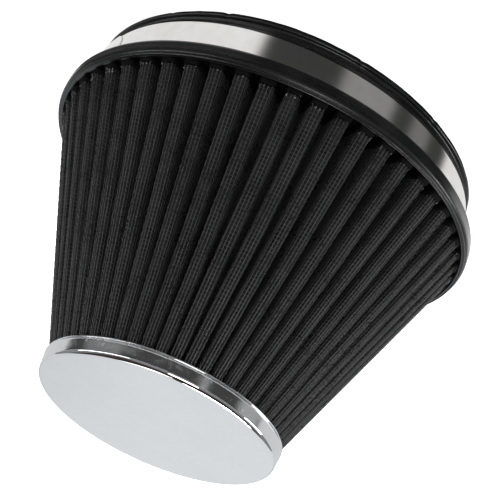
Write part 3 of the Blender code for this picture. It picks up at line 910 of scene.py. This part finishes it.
def make_tail():
    """The free end: a flat strip whose end is rounded, with a row of slots for the worm.

    Across the strip the outline's height is scaled by how wide it is at that angle. A
    slot is where the outer face's radius is less by the slot's depth.
    """
    low = BAND_LOW.z
    high = BAND_HIGH.z
    middle = (low + high) / 2
    outer = 83.9 * MM
    edge = 0.15 * MM
    slot_half = 4.0 * MM
    slot_depth = 0.35 * MM
    slot_pitch = 2.4 * MM / outer
    half = (high - low) / 2
    face_z = np.concatenate(
        [[-half + edge], np.linspace(-slot_half - 0.9 * MM, -slot_half - 0.05 * MM, 2),
         np.linspace(-slot_half + 0.05 * MM, slot_half - 0.05 * MM, 5),
         np.linspace(slot_half + 0.05 * MM, slot_half + 0.9 * MM, 2), [half - edge]]
    )
    outline = np.concatenate(
        [
            np.stack([np.full(len(face_z), outer), face_z], axis=1),
            arc((outer - edge, half - edge), edge, 45.0, 90.0, 2),
            arc((outer - 0.6 * MM + edge, half - edge), edge, 90.0, 180.0, 2),
            arc((outer - 0.6 * MM + edge, -half + edge), edge, 180.0, 270.0, 2),
            arc((outer - edge, -half + edge), edge, -90.0, -45.0, 2),
        ]
    )
    start = math.radians(-27.0)
    back = math.radians(46.0)
    first_slot = back - 23 * slot_pitch
    plain = np.linspace(start, first_slot, 40)[:-1]
    slotted = np.arange(first_slot, back, slot_pitch / 12)
    angles = np.concatenate([plain, slotted, [back]])
    from_end = (angles - start) * outer
    width = np.clip(1.0 - (1 - np.clip(from_end / (4.5 * MM), 0, 1)) ** 2.2 * 0.55, 0, 1)
    lift = np.clip((angles - math.radians(-1.0)) / math.radians(11.0), 0, 1)
    lift = lift**2 * (3 - 2 * lift)
    thinner = np.maximum(np.clip(1 - from_end / (3.0 * MM), 0, 1) * 0.5, 0.33 * (1 - lift))
    r = outer - 0.6 * MM + (outline[None, :, 0] - outer + 0.6 * MM) * (1 - thinner)[:, None]
    r = r - (0.77 * MM * (1 - lift))[:, None]
    in_row = np.abs(outline[:, 1]) < slot_half
    on_face = outline[:, 0] >= outer - 1e-6
    phase = ((back - angles) / slot_pitch) % 1.0
    cut = (np.abs(phase - 0.5) < 0.21) & (angles > first_slot) & (angles < back - 0.4 * slot_pitch)
    r -= slot_depth * cut[:, None] * (in_row & on_face)[None, :]
    z = middle + outline[None, :, 1] * width[:, None]
    z = z - strip_sag(angles)[:, None]
    points = np.stack([r * np.cos(angles)[:, None], r * np.sin(angles)[:, None], z], axis=-1)
    tail = closed_strip("clamp_free_end", points)
    return finish_piece(tail, STAINLESS, "strip_end", "stainless_strip", "clamp_tail")


def housing_place():
    """Frame at the housing: X points out, Y along the strip and Z up, on the strip's middle."""
    middle = (BAND_LOW.z + BAND_HIGH.z) / 2
    return Matrix.Rotation(HOUSING_ANGLE, 4, "Z") @ Matrix.Translation((0.0, 0.0, middle))


def make_housing():
    """The pressed cover over the worm: a section of an arch, carried along the strip."""
    length = 16.0 * MM
    barrel = SCREW_AXIS_RADIUS
    section = np.concatenate(
        [
            [(82.1 * MM, -6.9 * MM), (84.5 * MM, -6.9 * MM), (84.9 * MM, -6.75 * MM)],
            arc((barrel, 0.0), 4.0 * MM, -75.0, 75.0, 24),
            [(84.9 * MM, 6.75 * MM), (84.5 * MM, 6.9 * MM), (82.1 * MM, 6.9 * MM)],
            [(82.1 * MM, 6.3 * MM), (84.2 * MM, 6.3 * MM)],
            arc((barrel, 0.0), 3.3 * MM, 155.0, -155.0, 40),
            [(84.2 * MM, -6.3 * MM), (82.1 * MM, -6.3 * MM)],
        ]
    )
    bm = bmesh.new()
    verts = [bm.verts.new((r, -length / 2, z)) for r, z in section]
    made = bmesh.ops.extrude_face_region(bm, geom=[bm.faces.new(verts)])
    far = [item for item in made["geom"] if isinstance(item, bmesh.types.BMVert)]
    bmesh.ops.translate(bm, vec=(0.0, length, 0.0), verts=far)
    bmesh.ops.recalc_face_normals(bm, faces=bm.faces)
    mesh = bpy.data.meshes.new("clamp_housing_cover")
    bm.to_mesh(mesh)
    bm.free()
    mesh.transform(housing_place())
    mesh.shade_smooth()
    cover = in_scene("clamp_housing_cover", mesh)
    edges = cover.modifiers.new("edges", "BEVEL")
    edges.width = 0.22 * MM
    edges.segments = 2
    edges.limit_method = "ANGLE"
    edges.angle_limit = math.radians(40.0)
    edges.harden_normals = True
    return finish_piece(cover, PLATED_STEEL, "clamp", "plated_steel", "clamp_housing")


def make_screw():
    """The worm screw: radius as a function of the place along it and of the angle round it.

    Along the thread the radius is the core's plus a trapezoid wave of place over lead
    less the turn. On the head it is a hexagon's, cut down to a cone at its outer end.
    A straight slot is then cut across the head.
    """
    lead = 2.4 * MM
    core = 2.3 * MM
    ridge = 0.7 * MM
    flat = 6.35 * MM / 2
    along = np.concatenate(
        [np.arange(-7.0, 8.0, 0.16), np.linspace(8.0, 9.55, 4), np.linspace(9.6, 10.1, 4),
         np.linspace(10.15, 14.0, 14)]
    ) * MM
    steps = 48
    turn = full_turn(steps)
    wave = np.abs(((along[:, None] / lead - turn[None] / (2 * math.pi)) % 1.0) - 0.5) * 2
    run_out = np.clip((6.4 * MM - np.abs(along)) / (0.8 * MM), 0, 1)[:, None]
    thread = np.clip((0.62 - wave) / 0.34, 0, 1) * run_out
    radius = core + ridge * thread
    flange = (along >= 9.6 * MM) & (along <= 10.1 * MM)
    radius[flange] = 3.45 * MM
    head = along > 10.1 * MM
    hexagon = flat / np.cos((turn + math.pi / 6) % (math.pi / 3) - math.pi / 6)
    cone = flat + 0.15 * MM + (14.0 * MM - along[head]) * 1.2
    radius[head] = np.minimum(hexagon[None], cone[:, None])
    places = np.repeat(along[:, None], steps, axis=1)
    points = np.stack([radius * np.cos(turn), radius * np.sin(turn), places], axis=-1)
    ends = points[[0, -1]] * np.array([0.0, 0.0, 1.0])
    points = np.concatenate([ends[:1], points, ends[1:]])
    screw = grid_surface("clamp_worm_screw", points, wrap_v=True)
    bm = bmesh.new()
    size = Matrix.Diagonal((1.0 * MM, 9.0 * MM, 2.2 * MM, 1.0))
    bmesh.ops.create_cube(bm, size=1.0, matrix=Matrix.Translation((0.0, 0.0, 14.0 * MM)) @ size)
    blade_mesh = bpy.data.meshes.new("driver_slot")
    bm.to_mesh(blade_mesh)
    bm.free()
    blade = in_scene("driver_slot", blade_mesh)
    cut = screw.modifiers.new("slot", "BOOLEAN")
    cut.operation = "DIFFERENCE"
    cut.solver = "EXACT"
    cut.object = blade
    view = bpy.context.evaluated_depsgraph_get()
    mesh = bpy.data.meshes.new_from_object(screw.evaluated_get(view))
    screw.modifiers.clear()
    screw.data = mesh
    bpy.data.objects.remove(blade)
    mesh.transform(
        housing_place()
        @ Matrix.Translation((SCREW_AXIS_RADIUS, 0.0, 0.0))
        @ Matrix.Rotation(math.radians(90.0), 4, "X")
    )
    mesh.set_sharp_from_angle(angle=math.radians(38.0))
    return finish_piece(screw, PLATED_STEEL, "worm", "plated_steel", "clamp_screw")


def give(name, material):
    """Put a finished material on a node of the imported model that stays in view."""
    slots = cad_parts[name].data.materials
    for k in range(len(slots)):
        slots[k] = material


# --- studio

CAP_LEAN = math.atan(0.5 / 7.7)
CAMERA_PLACE = Vector((0.0, -0.65206, 0.37950))
CAMERA_DOWN = math.radians(26.635)
CAMERA_ASIDE = math.radians(0.571)
CAMERA_ROLL = math.radians(155.95)
CAMERA_LENS = 130.474


def make_camera():
    """A camera that looks down at the front and is rolled nearly upside down."""
    look = Vector(
        (
            -math.cos(CAMERA_DOWN) * math.sin(CAMERA_ASIDE),
            math.cos(CAMERA_DOWN) * math.cos(CAMERA_ASIDE),
            -math.sin(CAMERA_DOWN),
        )
    )
    level = look.cross(Vector((0.0, 0.0, 1.0))).normalized()
    upright = level.cross(look)
    right = level * math.cos(CAMERA_ROLL) - upright * math.sin(CAMERA_ROLL)
    up = level * math.sin(CAMERA_ROLL) + upright * math.cos(CAMERA_ROLL)
    data = bpy.data.cameras.new("camera")
    data.sensor_width = 36.0
    data.lens = CAMERA_LENS
    data.clip_end = 50.0
    camera = in_scene("camera", data)
    camera.matrix_world = Matrix.Translation(CAMERA_PLACE) @ Matrix((right, up, -look)).transposed().to_4x4()
    bpy.context.scene.camera = camera


def mirror_on_floor(aside_deg, radius, height, lean, card_height):
    """Where an upright wall mirrors the floor to the camera.

    For a place on the wall the line of sight is turned round by the wall's normal:
    sight less twice its part along the normal. It is then followed down to the card.
    """
    angle = np.radians(-90.0 - np.asarray(aside_deg))[:, None]
    height = np.asarray(height)[None, :]
    place = np.stack([radius * np.cos(angle) + 0 * height, radius * np.sin(angle) + 0 * height,
                      height + 0 * angle], -1)
    normal = np.stack([math.cos(lean) * np.cos(angle), math.cos(lean) * np.sin(angle),
                       np.full_like(angle, math.sin(lean))], -1)
    sight = unit(place - np.array(CAMERA_PLACE))
    turned_sight = sight - 2 * (sight * normal).sum(-1, keepdims=True) * normal
    reach = (card_height - place[..., 2]) / turned_sight[..., 2]
    return place + turned_sight * reach[..., None]


def glow_as_painted_reflection(name, obj, tint):
    """Make a surface glow with a colour for each of its points, seen only in the bright metal: a painted
    reflection.
    """
    layer = obj.data.color_attributes.new("tint", "FLOAT_COLOR", "POINT")
    colours = np.concatenate([tint.reshape(-1, 3), np.ones((tint.size // 3, 1))], axis=1)
    layer.data.foreach_set("color", colours.astype(np.float32).ravel())
    material = bpy.data.materials.new(name)
    material.use_nodes = True
    tree = material.node_tree
    tree.nodes.clear()
    colour = add_node(tree, "VertexColor", layer_name="tint")
    glow = add_node(tree, "Emission", {"Strength": 1.0})
    link(tree, colour.outputs["Color"], glow.inputs["Color"])
    link(tree, glow.outputs["Emission"], add_node(tree, "OutputMaterial").inputs["Surface"])
    obj.data.materials.append(material)
    obj.visible_camera = False
    obj.visible_diffuse = False
    obj.visible_shadow = False
    obj.visible_transmission = False


def make_reflection_sheet(name, tints, radius, heights, lean, card_height, aside):
    """A glowing tinted sheet flat on the floor, seen only in shiny pieces as a painted reflection: tints has
    the shape (place aside, height, colour).
    """
    spots = mirror_on_floor(aside, radius, heights, lean, card_height)
    card = mesh_object(name, spots.reshape(-1, 3), grid_quads(*spots.shape[:2], False, False))
    glow_as_painted_reflection(name, card, tints)


# Soft boxes: name, place, size and power
ROOM_LIGHT = 0.27
FLOOR_GLOW = 0.92
SOFT_BOXES = (
    ("strip_light_left", (1.22, -0.50, 0.36), (1.30, 0.10), 3.0),
    ("soft_box_right", (-1.30, -0.10, 0.30), (0.60, 0.36), 4.9),
    ("top_light_left", (0.095, 0.46, 0.95), (0.12, 0.40), 0.7),
    ("top_light_right", (-0.24, 0.52, 0.95), (0.36, 0.26), 6.0),
    ("soft_box_front", (-0.20, -1.25, 1.15), (0.70, 0.50), 6.6),
)

# Painted reflections, glowing grey sheets on the floor seen only in shiny pieces: each runs
# from one angle aside of the front to another, in degrees, and has one grey. A later one lies on the earlier
# ones.
BAND_PAINTED_REFLECTION = ((-180, 180, 0.95), (-15, 47, 0.05), (8, 24, 0.30), (31, 38, 0.20))
WALL_PAINTED_REFLECTION = ((-180, 180, 0.70), (-56, 45, 0.06), (-44, -26, 0.20), (11, 14, 0.40), (31, 44, 0.40))
RING_PAINTED_REFLECTION = ((-180, 180, 1.50), (-70, 47, 0.09), (-35, 40, 0.045))
REFLECTION_SHEET_EDGE = 1.5


def painted_reflection_tones(reflection_sheets, aside):
    """Painted reflection tones along a sheet: each sheet covers the ones before it, with soft edges to both
    sides.
    """
    light = np.zeros_like(aside)
    for start, end, grey in reflection_sheets:
        cover = 0.5 * (np.tanh((aside - start) / REFLECTION_SHEET_EDGE) - np.tanh((aside - end) / REFLECTION_SHEET_EDGE))
        light = light + (grey - light) * cover
    return np.repeat(light[:, None], 3, axis=1)


def make_studio():
    """A pale floor, an even pale room and soft boxes.

    Shiny pieces also show painted reflections of glowing sheets: grey ones on the floor, a dark ring
    round the filter as painted contact shadow, a dark one overhead and a pale panel behind it. Nothing else
    sees those.
    """
    world = bpy.data.worlds.new("studio")
    world.use_nodes = True
    bpy.context.scene.world = world
    room = world.node_tree.nodes["Background"]
    room.inputs["Color"].default_value = (0.95, 0.975, 1.0, 1.0)
    room.inputs["Strength"].default_value = ROOM_LIGHT

    half = 6.0
    corners = np.array([(-half, -half, 0.0), (half, -half, 0.0), (half, half, 0.0), (-half, half, 0.0)])
    floor = mesh_object("floor", corners, np.array([[0, 1, 2, 3]]), smooth=False)
    pale = bpy.data.materials.new("floor")
    pale.use_nodes = True
    shader = pale.node_tree.nodes["Principled BSDF"]
    shader.inputs["Base Color"].default_value = (0.9, 0.9, 0.9, 1.0)
    shader.inputs["Roughness"].default_value = 0.9
    shader.inputs["Specular IOR Level"].default_value = 0.1
    shader.inputs["Emission Color"].default_value = (1.0, 1.0, 1.0, 1.0)
    shader.inputs["Emission Strength"].default_value = FLOOR_GLOW
    floor.data.materials.append(pale)

    aside = np.linspace(-88.0, 88.0, 353)
    # Painted reflections of the band, the ring and the cap's wall, laid where the camera sees them mirrored.
    band = painted_reflection_tones(BAND_PAINTED_REFLECTION, aside)
    ring = painted_reflection_tones(RING_PAINTED_REFLECTION, aside)
    make_reflection_sheet("painted_reflection_near", np.stack([band, band, ring, ring], axis=1), BAND_RADIUS,
              np.array([3.0, 20.0, 23.0, 95.0]) * MM, 0.0, 0.6 * MM, aside)
    wall = painted_reflection_tones(WALL_PAINTED_REFLECTION, aside)
    make_reflection_sheet("painted_reflection_far", np.stack([wall, wall], axis=1), CAP_RADIUS,
              np.array([90.0, 260.0]) * MM, CAP_LEAN, 1.2 * MM, aside)
    # Painted contact shadow: a dark glowing ring on the floor round the mouth, seen only in reflections.
    near = turned(np.array([[60.0, 0.3], [86.2, 0.3]]) * MM, full_turn(96))
    shade_ring = mesh_object("shade_ring", near.reshape(-1, 3), grid_quads(96, 2, True, False))
    glow_as_painted_reflection("shade_ring", shade_ring, np.full((192, 3), 0.004))
    # Painted reflection: a dark glowing sheet overhead, seen only in shiny pieces.
    x, y = np.meshgrid(np.array([-2.6, 2.6]), np.array([-2.0, 2.1]), indexing="ij")
    ceiling = mesh_object("ceiling_painted_reflection", np.stack([x, y, 0 * x + 2.45], axis=-1).reshape(-1, 3),
                          grid_quads(2, 2, False, False))
    glow_as_painted_reflection("ceiling_painted_reflection", ceiling, np.broadcast_to(np.array([0.050, 0.038, 0.032]), (4, 3)))
    # Painted reflection: a pale glowing panel behind the filter, seen only in shiny pieces.
    x, z = np.meshgrid(np.linspace(-2.2, 2.2, 89), np.array([0.25, 2.4]), indexing="ij")
    panel = mesh_object("back_panel_painted_reflection", np.stack([x, 1.5 + 0.2 * z, z], axis=-1).reshape(-1, 3),
                        grid_quads(*x.shape, False, False))
    # Painted shade: the panel is a little darker to one side, for the cap's face.
    shade = 0.5 + 0.5 * np.tanh((x - 0.10) / 0.06)
    glow_as_painted_reflection("back_panel_painted_reflection", panel, np.array([0.823, 0.845, 0.865]) * (1 - 0.11 * shade[..., None]))

    for name, place, size, power in SOFT_BOXES:
        data = bpy.data.lights.new(name, "AREA")
        data.shape = "RECTANGLE"
        data.size, data.size_y = size
        data.energy = power
        box = in_scene(name, data)
        toward = Vector((0.0, 0.0, 0.07)) - Vector(place)
        box.matrix_world = Matrix.Translation(place) @ toward.to_track_quat("-Z", "Y").to_matrix().to_4x4()
        box.visible_camera = False


bpy.context.scene.view_settings.view_transform = "Standard"

# --- build

make_camera()
make_studio()
make_woven_screen("outer_screen", WIRES_PER_PLEAT, WIRE_ROWS, OUTER_WIRE_DEPTH, 4)
make_woven_screen("inner_screen", INNER_WIRES_PER_PLEAT, INNER_WIRE_ROWS, INNER_WIRE_DEPTH, 2)
make_gauze()
make_base()
make_resin_foot()
make_resin_drops()
make_cap()
make_band()
make_tail()
make_housing()
make_screw()
give("cap_potting", URETHANE)
give("seam_strip", PLATED_STEEL)
give("clamp_saddle", PLATED_STEEL)
